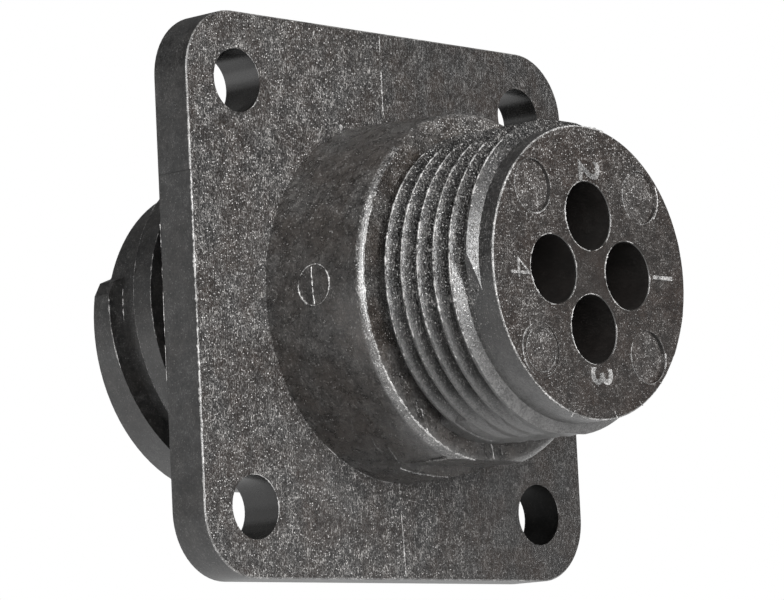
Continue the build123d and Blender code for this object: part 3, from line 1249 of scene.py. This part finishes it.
def raised_number(text, x, z, swell):
    """One number, 1.6 mm high, standing on the wire face; swell makes it bolder."""
    bpy.ops.object.select_all(action="DESELECT")
    bpy.ops.object.text_add(location=(0, 0, 0))
    number = bpy.context.active_object
    number.data.body = text
    number.data.size = NUMBER_SIZE * MM
    number.data.offset = swell * MM
    number.data.extrude = NUMBER_RELIEF * MM
    number.data.align_x = "CENTER"
    number.data.align_y = "CENTER"
    bpy.ops.object.convert(target="MESH")
    turn = Matrix(((0, 1, 0), (0, 0, -1), (-1, 0, 0))).to_4x4()
    number.matrix_world = Matrix.Translation(Vector((x, FACE_Y, z)) * MM) @ turn
    settle(number)
    return number


numbers = [raised_number(text, *place) for text, place in NUMBERS.items()]
finish_piece(join("cavity_numbers", numbers), [number_highlight_nylon])

# %% [markdown]
# The room is plain: a pale floor well below, a white world that the camera sees as pure
# white, and soft lamps. The largest softbox stands between the camera and the wire
# side, which is what draws the bright line along the collar's rounded edge.

# %% Floor
FLOOR_Z = -0.045
bpy.ops.object.select_all(action="DESELECT")
bpy.ops.mesh.primitive_plane_add(size=4.0, location=(0, 0, FLOOR_Z))
floor = bpy.context.active_object
floor.name = "studio_floor"
paper = bpy.data.materials.new("pale_paper")
paper.use_nodes = True
n = Nodes(paper.node_tree)
matt = paper.node_tree.nodes["Principled BSDF"]
matt.inputs["Base Color"].default_value = (0.6, 0.6, 0.6, 1.0)
matt.inputs["Roughness"].default_value = 0.8
white = n.add("ShaderNodeEmission")
white.inputs["Strength"].default_value = 0.9
ray = n.add("ShaderNodeLightPath").outputs
blend = n.add("ShaderNodeMixShader")
n.feed(blend.inputs[0], n.math("MAXIMUM", ray["Is Glossy Ray"], ray["Is Transmission Ray"]))
n.feed(blend.inputs[1], matt.outputs[0])
n.feed(blend.inputs[2], white.outputs[0])
n.feed(paper.node_tree.nodes["Material Output"].inputs["Surface"], blend.outputs[0])
floor.data.materials.append(paper)
print("floor at Z, m:", FLOOR_Z)

# %% World
LIT_SIDE = (-0.696, -0.696, 0.174)
ROOM_LEVEL = 0.15
LIT_LEVEL = 1.5

world = bpy.data.worlds.new("white_room")
bpy.context.scene.world = world
world.use_nodes = True
n = Nodes(world.node_tree)
ray = n.add("ShaderNodeLightPath").outputs
seen = n.math("MAXIMUM", ray["Is Camera Ray"], ray["Is Transmission Ray"])
way = n.vector("NORMALIZE", n.add("ShaderNodeTexCoord").outputs["Generated"])
toward = n.math("MAXIMUM", n.vector("DOT_PRODUCT", way, LIT_SIDE), 0.0)
level = n.math("MULTIPLY_ADD", n.math("POWER", toward, 6.0), LIT_LEVEL, ROOM_LEVEL)
room = world.node_tree.nodes["Background"]
room.inputs["Color"].default_value = (1.0, 1.0, 1.0, 1.0)
n.feed(room.inputs["Strength"], n.math("MAXIMUM", seen, level))
print("world:", world.name)


# %% Lamps
def softbox(name, place, width, height, watts):
    """Rectangular lamp that looks at the part."""
    bpy.ops.object.light_add(type="AREA", location=place)
    lamp = bpy.context.active_object
    lamp.name = name
    lamp.data.shape = "RECTANGLE"
    lamp.data.size = width
    lamp.data.size_y = height
    lamp.data.energy = watts
    lamp.rotation_euler = (-Vector(place)).to_track_quat("-Z", "Y").to_euler()


softbox("front_softbox", (-0.038, -0.491, 0.087), 0.13, 0.25, 1.85)
softbox("left_softbox", (-0.291, -0.401, 0.070), 0.25, 0.25, 1.1)
softbox("high_softbox", (-0.220, -0.314, 0.321), 0.25, 0.25, 0.45)
softbox("near_card", (-0.034, 0.028, 0.004), 0.014, 0.03, 0.0008)
